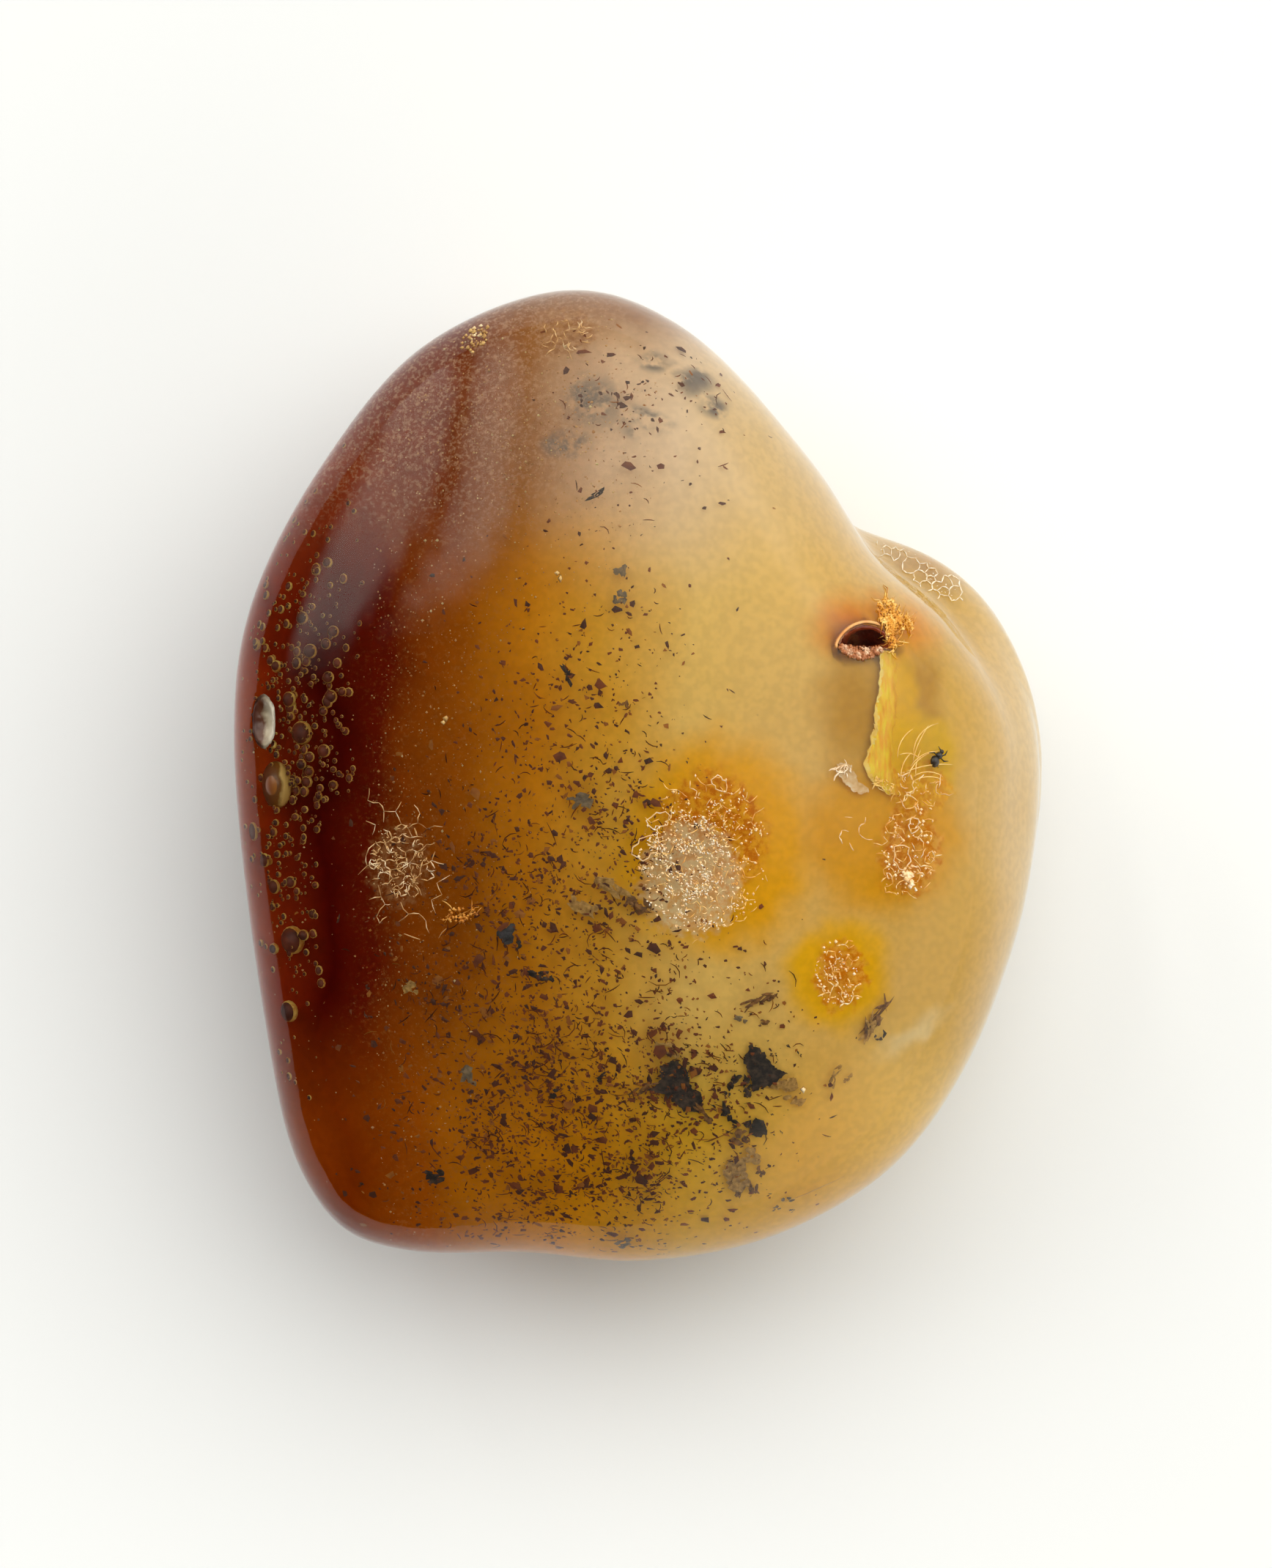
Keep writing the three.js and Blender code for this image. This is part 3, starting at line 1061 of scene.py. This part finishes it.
def add_strip():
    """The golden strip: painted highlight at its ragged left edge, its right sunk in the cloudy amber."""
    rows = np.linspace(STRIP[0][0], STRIP[-1][0], STRIP_ROWS)
    heights = [-row[0] for row in STRIP]
    left = np.interp(-rows, heights, [row[1] for row in STRIP])
    right = np.interp(-rows, heights, [row[2] for row in STRIP])
    points = []
    for y, low, high in zip(rows, left, right):
        low += 0.09 * uneven(y, 0, 1, 2.5, octaves=4)
        high += 0.09 * uneven(y, 5, 1, 2.5, octaves=4)
        for column in range(STRIP_COLUMNS):
            share = column / (STRIP_COLUMNS - 1)
            x = low + (high - low) * share
            torn = 0.25 * noise.noise(Vector((x * 3.0, 0, 2))) if y < -0.1 else 0
            ridge = 0.07 * uneven(x * 5, y * 1.2, 0)
            sunk = 0.12 * share + 0.32 * float(smooth_share(share, 0.55, 1.0))
            points.append(under(x, y + torn, 0.1 + sunk + ridge)[0])
    faces = []
    slots = []
    for row in range(STRIP_ROWS - 1):
        # Columns left of edge get the brighter gold of the painted highlight along the left edge
        edge = 2.0 + 4.5 * uneven(1.8 * rows[row], 3, 0)
        for column in range(STRIP_COLUMNS - 1):
            a = row * STRIP_COLUMNS + column
            faces.append((a, a + STRIP_COLUMNS, a + STRIP_COLUMNS + 1, a + 1))
            slots.append(int(column < edge))
    strip = Shapes()
    strip.add(points, faces, slots)
    painted_edge_highlight = mottled("strip_edge_painted_highlight", under_skin, [(228, 152, 20), (252, 206, 96)], 2.0, 0.4)
    strip.piece("golden_strip", strip_material(), painted_edge_highlight)


def strip_material():
    material, graph, shader = new_material("golden_strip")
    place = graph.millimetres()
    fibre = graph.noise(graph.vector("MULTIPLY", place, (4.0, 0.8, 1.0)), 2.0, 4)
    streaks = graph.step(fibre, 0.3, 0.7)
    bright = graph.mix(streaks, under_skin(222, 130, 0), under_skin(254, 188, 14))
    olive = graph.mix(streaks, under_skin(196, 124, 2), under_skin(228, 158, 12))
    side = graph.plus(graph.split(place)["X"], graph.times(graph.noise(place, 1.2, 3), 0.8))
    set_finish(graph, shader, graph.mix(graph.step(side, 10.3, 11.0), bright, olive), 0.5)
    return material


# A bright crumb on the strip, and its torn end
STRIP_CRUMB = oval((9.62, 2.0), (0.16, 0.24))
TORN_END = oval((10.0, -0.4), (0.75, 0.25), -30)
FAN_FIBRES = 11
FAN_STEPS = 6


def add_fan(pale):
    """The bright crumb on the strip, its torn end, and the fan of fibres beside it."""
    fan = Shapes()
    add_glints(fan, STRIP_CRUMB, 40, 0.14, 0.01)
    add_squiggles(fan, TORN_END, 22, 0.3, 0.055, 0.015)
    add_glints(fan, TORN_END, 110, 0.15, 0.01)
    for _ in range(FAN_FIBRES):
        heading = rng.uniform(10, 95)
        pace = rng.uniform(0.9, 2.2) / FAN_STEPS
        curl = rng.uniform(-14, -4)
        x, y = 10.6 + rng.uniform(-0.1, 0.7), rng.uniform(-0.4, 0.9)
        flat_points = [(x, y)]
        for _ in range(FAN_STEPS):
            x += pace * math.cos(math.radians(heading))
            y += pace * math.sin(math.radians(heading))
            heading += curl
            flat_points.append((x, y))
        add_thread(fan, path_on_skin(flat_points, 0.012), 0.055)
    fan.piece("fan_of_fibres", pale)


# The dark speck: the balls of its body, with place, radius and stretch, and its legs round a middle
SPECK_BALLS = [((12.1, 0.62), 0.2, 1.3), ((12.28, 0.86), 0.16, 1.0), ((12.4, 1.02), 0.1, 1.0)]
SPECK_MIDDLE = (12.25, 0.8)
LEG_BEARINGS = (20, 75, 140, 200, 250, 320)
LEG_KNEE = 0.28
LEG_REACH = 0.44
LEG_TURN = 0.3


def add_dark_speck():
    """The dark speck beside the fan: a body of three balls, with legs."""
    speck = Shapes()
    for (x, y), radius, stretch in SPECK_BALLS:
        add_ball(speck, *under(x, y, 0.02), radius, stretch, 0, rings=6, spokes=10)
    x, y = SPECK_MIDDLE
    for bearing in LEG_BEARINGS:
        path = [SPECK_MIDDLE]
        for reach, turn in ((LEG_KNEE, 0), (LEG_REACH, LEG_TURN)):
            angle = math.radians(bearing) + turn
            path.append((x + reach * math.cos(angle), y + reach * math.sin(angle)))
        add_thread(speck, path_on_skin(path, 0.05), 0.08)
    speck.piece("dark_speck", mottled("dark_speck", srgb, [(10, 8, 7), (52, 44, 38)], 3.0, 0.35))


# The whitish flake left of the strip, drawn round its middle, and the fray at its top
WHITISH_FLAKE = [
    (-0.6, 0.52), (0.05, 0.48), (0.27, -0.13), (0.75, -0.65), (0.44, -0.74), (-0.08, -0.43), (-0.52, 0.05),
]
FRAY = oval((8.35, 0.35), (0.5, 0.4), -30)
# The scratch at the lower right: a pale thread under the skin, the scratch's painted highlight
SCRATCH = [(5.95, -17.75), (6.8, -17.45), (7.6, -17.1), (8.5, -16.7)]


def add_flake_and_scratch(pale):
    """The whitish flake left of the strip, and the scratch at the lower right, a painted highlight."""
    flake = Shapes()
    add_plate(flake, WHITISH_FLAKE, (8.6, 0.0), 0.08, 0.015)
    add_squiggles(flake, FRAY, 16, 0.4, 0.06, 0.02, slot=1)
    film = mottled("whitish_film", under_skin, [(168, 116, 56), (202, 154, 98), (240, 208, 168)], 3.0)
    fray = mottled("fray", srgb, [(240, 206, 160), (255, 250, 236)], 2.0)
    flake.piece("whitish_flake", film, fray, smooth=False)
    scratch = Shapes()
    add_thread(scratch, path_on_skin(SCRATCH, -0.05), 0.07)
    scratch.piece("scratch_painted_highlight", pale)


# Plant shreds are thick where these overlap: place, spread and weight
SHRED_CLUMPS = [
    ((-5.0, -13.5), (3.2, 4.0), 1.0),
    ((-1.5, -15.5), (2.6, 2.4), 0.55),
    ((-6.0, -6), (2.6, 3.6), 0.45),
    ((-1.8, -3.5), (2.0, 3.4), 0.35),
    ((2.2, -12.5), (2.2, 2.8), 0.28),
    ((-2.6, 3), (2.4, 2.8), 0.16),
    ((-2, 9), (2.2, 4), 0.05),
    ((0, 15.2), (2.2, 1.6), 0.09),
]
# The shares of black, brown and faint shreds, and of those that are curled threads
SHRED_SHARES = (0.42, 0.42, 0.16)
CURLED_SHARE = 0.12


def add_shreds(name, count, side, materials):
    """Small scraps of plant under the skin of the front, or of the back with side -1."""
    weights = np.array([weight for _, _, weight in SHRED_CLUMPS])
    shapes = Shapes()
    for index in rng.choice(len(weights), count, p=weights / weights.sum()):
        at, spread, _ = SHRED_CLUMPS[index]
        x, y = rng.normal(at, spread)
        crowd = uneven(x, y, 3.0, 0.4, 0.8)
        depth = 0.06 + rng.random() * 0.45 * float(clear_depth(x, y))
        found = under(x, y, depth, side)
        if found is None or rng.random() > 0.6 + 0.45 * crowd:
            continue
        length = min(0.19 * math.exp(rng.normal(0, 0.55)), 0.8)
        slot = int(rng.choice(3, p=SHRED_SHARES))
        turn = rng.normal(-25, 50)
        if rng.random() < CURLED_SHARE:
            add_curl(shapes, *found, turn, 1.8 * length, slot)
        else:
            size = (length, length * rng.uniform(0.3, 0.9), 0.025)
            add_shred(shapes, *found, turn, size, slot, 5)
    shapes.piece(name, *materials, smooth=False)


def add_curl(shapes, at, facing, turn, length, slot):
    """A short thread that bends along the skin."""
    bend = rng.uniform(-40, 40)
    points = [at]
    for _ in range(3):
        points.append(points[-1] + along_skin(facing, turn)[0] * (length / 3))
        turn += bend
    add_thread(shapes, points, 0.055, slot)


def shred_materials():
    return [
        mottled("black_shreds", under_skin, [(30, 9, 0), (64, 25, 2)], 2.0),
        mottled("brown_shreds", under_skin, [(56, 19, 0), (94, 42, 2)], 2.0),
        mottled("faint_shreds", under_skin, [(96, 46, 0), (128, 72, 8)], 2.0),
    ]


def ragged(outline, steps, amount):
    """An outline with each side broken into uneven steps."""
    broken = []
    for (ax, ay), (bx, by) in zip(outline, outline[1:] + outline[:1]):
        side = math.hypot(bx - ax, by - ay)
        for i in range(steps):
            share = i / steps
            off = rng.uniform(-amount, amount) * side if i else 0
            broken.append((
                ax + (bx - ax) * share - (by - ay) / side * off,
                ay + (by - ay) * share + (bx - ax) / side * off,
            ))
    return broken


def add_plate(shapes, outline, at, depth, thickness=0.05):
    """A thin plate under the skin, with a ragged outline that is drawn round its middle."""
    broken = ragged(ragged(outline, 3, 0.12), 3, 0.25)
    middle = (sum(p[0] for p in broken) / len(broken), sum(p[1] for p in broken) / len(broken))
    upper = []
    lower = []
    for dx, dy in [middle] + broken:
        place, facing = under(at[0] + dx, at[1] + dy, depth)
        upper.append(place)
        lower.append(place - facing * thickness)
    first = len(upper)
    faces = []
    for i in range(len(broken)):
        a, b = 1 + i, 1 + (i + 1) % len(broken)
        faces += [(0, a, b), (first, first + b, first + a), (a, first + a, first + b, b)]
    shapes.add(upper + lower, faces)


def add_scrap(shapes, at, length, width, turn, slot):
    """A torn scrap of plant: shards that overlap, within about the given size."""
    angle = math.radians(turn)
    for _ in range(int(4 + 7 * length * width)):
        u, v = rng.uniform(-0.34, 0.34, 2) * (length, width)
        x = at[0] + u * math.cos(angle) - v * math.sin(angle)
        y = at[1] + u * math.sin(angle) + v * math.cos(angle)
        found = under(x, y, rng.uniform(0.1, 0.24))
        if found is None:
            continue
        share = rng.uniform(0.35, 0.75)
        size = (length * share, width * rng.uniform(0.35, 0.75), 0.03)
        add_shred(shapes, *found, turn + rng.normal(0, 22), size, slot, int(rng.integers(5, 9)))


# The two largest flakes, drawn round their middles
BLACK_FLAKE = [
    (-1.29, -0.1), (-0.74, 0.35), (-0.79, 0.94), (-0.1, 1.19), (0.4, 0.64),
    (0.45, 0.15), (0.94, -0.35), (0.97, -0.94), (0.2, -1.02), (-0.45, -0.45),
]
TRIANGLE_FLAKE = [
    (-0.54, 1.04), (0.1, 0.64), (0.5, 0.05), (1.04, -0.2),
    (0.5, -0.64), (-0.4, -0.94), (-0.5, -0.45), (-0.81, 0.35),
]
# Scraps between those two: place and turn
SHARDS = [((4.25, -12.7), 60), ((3.8, -12.55), 20), ((4.4, -12.95), 85), ((3.65, -12.9), 80)]
# Lesser scraps: place, length, width, turn, tone (0 black, 1 brown, 2 faint, 3 grey, 4 blue)
SCRAPS = [
    ((3.75, -14.1), 1.1, 0.4, -50, 0), ((4.75, -14.55), 0.9, 0.75, 0, 0),
    ((4.1, -15.0), 0.7, 0.6, 30, 1), ((4.6, -15.75), 0.7, 0.7, 0, 2),
    ((4.15, -16.6), 0.9, 1.2, 10, 2), ((4.7, -17.2), 0.35, 0.9, 20, 1),
    ((4.1, -17.25), 0.3, 0.8, -10, 1), ((5.0, -16.4), 0.4, 0.45, 0, 1),
    ((6.1, -17.65), 0.5, 0.36, -20, 3), ((5.7, -18.05), 0.42, 0.36, 30, 3),
    ((6.35, -18.2), 0.25, 0.2, 30, 0), ((-0.8, -19.6), 0.8, 0.4, 40, 3),
    ((9.75, -10.0), 0.35, 1.9, -28, 1), ((9.45, -10.4), 0.4, 1.2, -20, 2),
    ((9.9, -10.75), 0.45, 0.4, 0, 0), ((8.0, -12.4), 0.25, 1.1, -18, 2),
    ((8.6, -12.5), 0.35, 0.3, 0, 2), ((4.86, -9.2), 1.3, 0.3, 18, 1),
    ((5.4, -9.15), 0.5, 0.22, 40, 1), ((4.1, -10.05), 0.5, 0.35, 0, 3),
    ((5.1, -10.2), 0.5, 0.3, -10, 1), ((-5.54, -6.53), 0.7, 0.85, 0, 4),
    ((-5.1, -6.95), 0.4, 0.3, 30, 0), ((-4.12, -8.24), 1.0, 0.4, -15, 0),
    ((-2.57, -1.02), 0.9, 0.6, 20, 3), ((-1.86, 11.55), 0.8, 0.25, 35, 0),
    ((-3.0, 4.06), 0.3, 0.9, 10, 0), ((-0.74, 2.91), 0.4, 0.45, 0, 1),
    ((-2.4, -5.4), 1.2, 0.6, -30, 2), ((-7.2, -12.5), 0.6, 0.9, 20, 3),
    ((-8.64, -16.7), 0.8, 0.6, 0, 0), ((-0.9, 8.33), 0.55, 0.5, 0, 3),
    ((-0.9, 7.31), 0.5, 0.6, 0, 3), ((-1.2, -4.6), 1.5, 0.5, -35, 2),
    ((-0.2, -5.2), 1.2, 0.5, -30, 1), ((-9.6, -8.7), 0.7, 0.5, 0, 2),
    ((1.1, -11.2), 0.9, 0.5, -20, 2), ((0.1, -12.9), 1.1, 0.35, 25, 1),
    ((-1.6, -12.4), 0.7, 0.22, 40, 0), ((-3.7, -13.1), 0.5, 0.4, 0, 0),
    ((2.6, -13.9), 0.9, 0.4, -45, 1), ((5.95, -12.7), 1.0, 0.7, -20, 2),
    ((6.3, -13.4), 0.8, 0.5, 10, 2),
]
SCRAP_GROWTH = 1.25
# Places with splinters round them, and the splinters' tone
SPLINTER_PLACES = [((1.4, -12.9), 0), ((5.0, -12.1), 0), ((4.2, -12.6), 1), ((4.4, -14.6), 0)]
SPLINTERS = 14
SPLINTER_SPREAD = 0.75


def add_flakes():
    """The larger scraps of plant: two ragged plates, torn scraps, and splinters round some of them."""
    tones = [
        mottled("black_flakes", under_skin, [(8, 5, 3), (56, 42, 32)], 4.5, spread=(0.42, 0.75)),
        mottled("brown_flakes", under_skin, [(34, 18, 6), (112, 72, 28)], 5.0),
        mottled("faint_flakes", under_skin, [(84, 56, 18), (168, 122, 56)], 5.0),
        mottled("grey_flakes", under_skin, [(52, 46, 38), (104, 88, 62)], 3.5),
        mottled("blue_flakes", under_skin, [(10, 10, 12), (52, 52, 56)], 4.0),
    ]
    shapes = Shapes()
    add_plate(shapes, BLACK_FLAKE, (1.55, -12.85), 0.16)
    add_plate(shapes, TRIANGLE_FLAKE, (5.02, -12.08), 0.14)
    for at, turn in SHARDS:
        add_scrap(shapes, at, 0.85, 0.45, turn, 0)
    for at, length, width, turn, tone in SCRAPS:
        add_scrap(shapes, at, SCRAP_GROWTH * length, SCRAP_GROWTH * width, turn, tone)
    for at, tone in SPLINTER_PLACES:
        for _ in range(SPLINTERS):
            place = rng.normal(at, SPLINTER_SPREAD)
            length = rng.uniform(0.12, 0.4)
            width = rng.uniform(0.08, 0.16)
            add_scrap(shapes, place, length, width, rng.normal(-30, 40), tone)
    shapes.piece("plant_flakes", *tones, smooth=False)


# Larger bubbles at the left flank: place, radius and stretch along the length
BUBBLES = [
    ((-13.8, 5.2), 0.31, 1.0), ((-13.0, 4.1), 0.25, 1.0), ((-12.9, 3.3), 0.28, 1.0),
    ((-12.4, 3.5), 0.19, 1.0), ((-13.2, 2.7), 0.19, 1.0), ((-14.7, 3.2), 0.3, 1.1),
    ((-14.2, 1.8), 0.46, 1.1), ((-13.2, 1.05), 0.28, 1.0), ((-13.8, 0.8), 0.22, 1.0),
    ((-14.15, 0.5), 0.22, 1.0), ((-13.8, 0.2), 0.2, 1.0), ((-13.1, 5.5), 0.22, 1.1),
    ((-12.8, 6.0), 0.25, 1.0), ((-14.15, 6.6), 0.28, 1.0), ((-15.4, -4.6), 0.28, 1.1),
    ((-14.65, -4.4), 0.25, 1.0), ((-15.8, -3.5), 0.25, 1.2), ((-14.71, -6.84), 0.55, 1.1),
    ((-14.86, -9.82), 0.42, 1.1), ((-14.1, -6.6), 0.24, 1.0), ((-16.3, -2.3), 0.25, 1.6),
]
# Small bubbles go no further right than the first of these above a height, and the second below it
SMALL_BUBBLES = 700
BUBBLES_RIGHT = (-11.6, -13.4)
BUBBLES_HEIGHT = -1.0
# The colours of the large bubble and of the open one, from left to right. The large one's light right
# end is a painted highlight on its rim; the open one is painted shade at its left wall and a painted
# silvery reflection at its right wall
DOME_TONES_WITH_HIGHLIGHT = [(-16.1, (84, 32, 8)), (-15.5, (72, 36, 14)), (-15.0, (84, 48, 6)), (-14.85, (196, 150, 76))]
CRATER_SHADE_AND_REFLECTION = [
    (-16.1, (60, 20, 8)), (-15.75, (84, 44, 22)), (-15.55, (176, 164, 142)), (-15.3, (222, 214, 196)),
]


def add_bubbles():
    """The bubbles at the left flank: many closed ones, a large one and an open one."""
    # Painted light: dark poles for the bubbles' dark middles, golden belts for the light their walls throw
    # back
    dark = mottled("bubble_painted_dark_middles", under_skin, [(34, 4, 0), (80, 28, 6)], 1.6)
    painted_rim_light = mottled("bubble_rims_painted_light", under_skin, [(140, 74, 10), (240, 186, 84)], 2.4, 0.35)
    shapes = Shapes()
    for (x, y), radius, stretch in BUBBLES:
        found = under(x, y, radius + 0.08)
        if found is not None:
            add_ball(shapes, *found, radius, stretch, rings=9, spokes=16)
            # A grain in the belt's colour near the top of each larger bubble: a painted highlight
            add_grain(shapes, found[0] + Vector((0.3, 0.4, 0.95)) * radius, 0.3 * radius, 1)
    for _ in range(SMALL_BUBBLES):
        x = rng.normal(-14.3, 1.4)
        y = rng.normal(0.5, 6.0)
        radius = min(0.07 * math.exp(rng.normal(0.2, 0.5)), 0.26)
        found = under(x, y, radius + rng.uniform(0.05, 0.5))
        if found is not None and x < BUBBLES_RIGHT[0 if y > BUBBLES_HEIGHT else 1]:
            add_ball(shapes, *found, radius, rng.uniform(0.9, 1.3), rings=7, spokes=8)
    shapes.piece("bubbles", dark, painted_rim_light)
    dome = Shapes()
    add_ball(dome, *under(-15.36, -0.37, 0.62), 0.68, 1.45, 0, rings=14, spokes=28)
    # The large bubble is lighter at its right rim: a painted highlight
    dome.piece("large_bubble", across_colours("dome", under_skin, DOME_TONES_WITH_HIGHLIGHT))
    # The open bubble is dark at its left and silvery at its right: painted shade and a painted reflection
    crater = across_colours("crater", srgb, CRATER_SHADE_AND_REFLECTION)
    add_lining("open_bubble", PITS["crater"], [crater], [], rings=12, spokes=48)


# Crowds of specks: place, spread, how many, and how far right they go
SPECK_CROWDS = [
    ((-10.5, 1.0), (3.4, 10.0), 2400, -4.5),
    ((-4.5, 14.0), (2.8, 3.0), 1500, 1.0),
]
# The dark band has fewer specks: its left and right edge, and the share of specks left out there
DARK_BAND = (-13.8, -11.2)
DARK_LEFT_OUT = 0.85
GOLDEN_SHARE = 0.4


def add_specks():
    """Fine pale and golden grains under the skin of the left half and the top."""
    beige = mottled("beige_specks", under_skin, [(130, 74, 34), (194, 144, 92)], 2.0)
    golden = mottled("golden_specks", under_skin, [(176, 106, 36), (255, 220, 150)], 2.0)
    shapes = Shapes()
    for at, spread, count, right in SPECK_CROWDS:
        for _ in range(count):
            x, y = rng.normal(at, spread)
            found = under(x, y, rng.uniform(0.05, 1.0))
            in_dark = DARK_BAND[0] < x < DARK_BAND[1] and rng.random() < DARK_LEFT_OUT
            if found is None or x > right or in_dark:
                continue
            size = min(0.05 * math.exp(rng.normal(0, 0.45)), 0.16)
            add_grain(shapes, found[0], size, int(rng.random() < GOLDEN_SHARE))
    shapes.piece("fine_specks", beige, golden)


# Chips at the top edge and on the front, and the golden crust beside the left net
EDGE_CHIPS = oval((-6.9, 18.2), (0.45, 0.75), -40)
CHIP_PLACES = [(-3.44, 8.33), (-8.11, 2.23), (-8.0, 2.4), (-3.3, 8.1), (6.7, -12.9)]
CHIP_SIZE = 0.28
GOLDEN_CRUST = oval((-7.49, -5.67), (0.75, 0.3), 12, 0.1)


def add_chips():
    """Pale chips at the top edge and on the front, and the golden crust."""
    chips = Shapes()
    add_crumbs(chips, EDGE_CHIPS, 60, 0.15, 0.0)
    golden = mottled("golden_crust", srgb, [(140, 74, 10), (196, 124, 30), (240, 190, 100)], 1.8)
    crust = Shapes()
    add_crumbs(crust, GOLDEN_CRUST, 46, 0.13, 0.0)
    add_squiggles(crust, GOLDEN_CRUST, 25, 0.4, 0.05, 0.015)
    crust.piece("golden_crust", golden)
    for x, y in CHIP_PLACES:
        add_grain(chips, under(x, y, 0.03)[0], CHIP_SIZE)
    pale = mottled("pale_chips", srgb, [(150, 104, 48), (206, 168, 100), (246, 230, 196)], 1.8)
    chips.piece("pale_chips", pale)


add_camera()
add_surround()
add_floor()
tree = surface_tree(add_skin())
add_cloud()
add_crusts()
add_hole()
add_strip()
pale_fibres = mottled("pale_fibres", srgb, [(226, 166, 52), (254, 228, 150)], 1.5, 0.35)
add_fan(pale_fibres)
add_dark_speck()
add_flake_and_scratch(pale_fibres)
shreds = shred_materials()
add_shreds("plant_shreds", 11000, 1, shreds)
add_shreds("plant_shreds_back", 2500, -1, shreds)
add_flakes()
add_bubbles()
add_specks()
add_chips()

bpy.context.scene.view_settings.view_transform = "Standard"
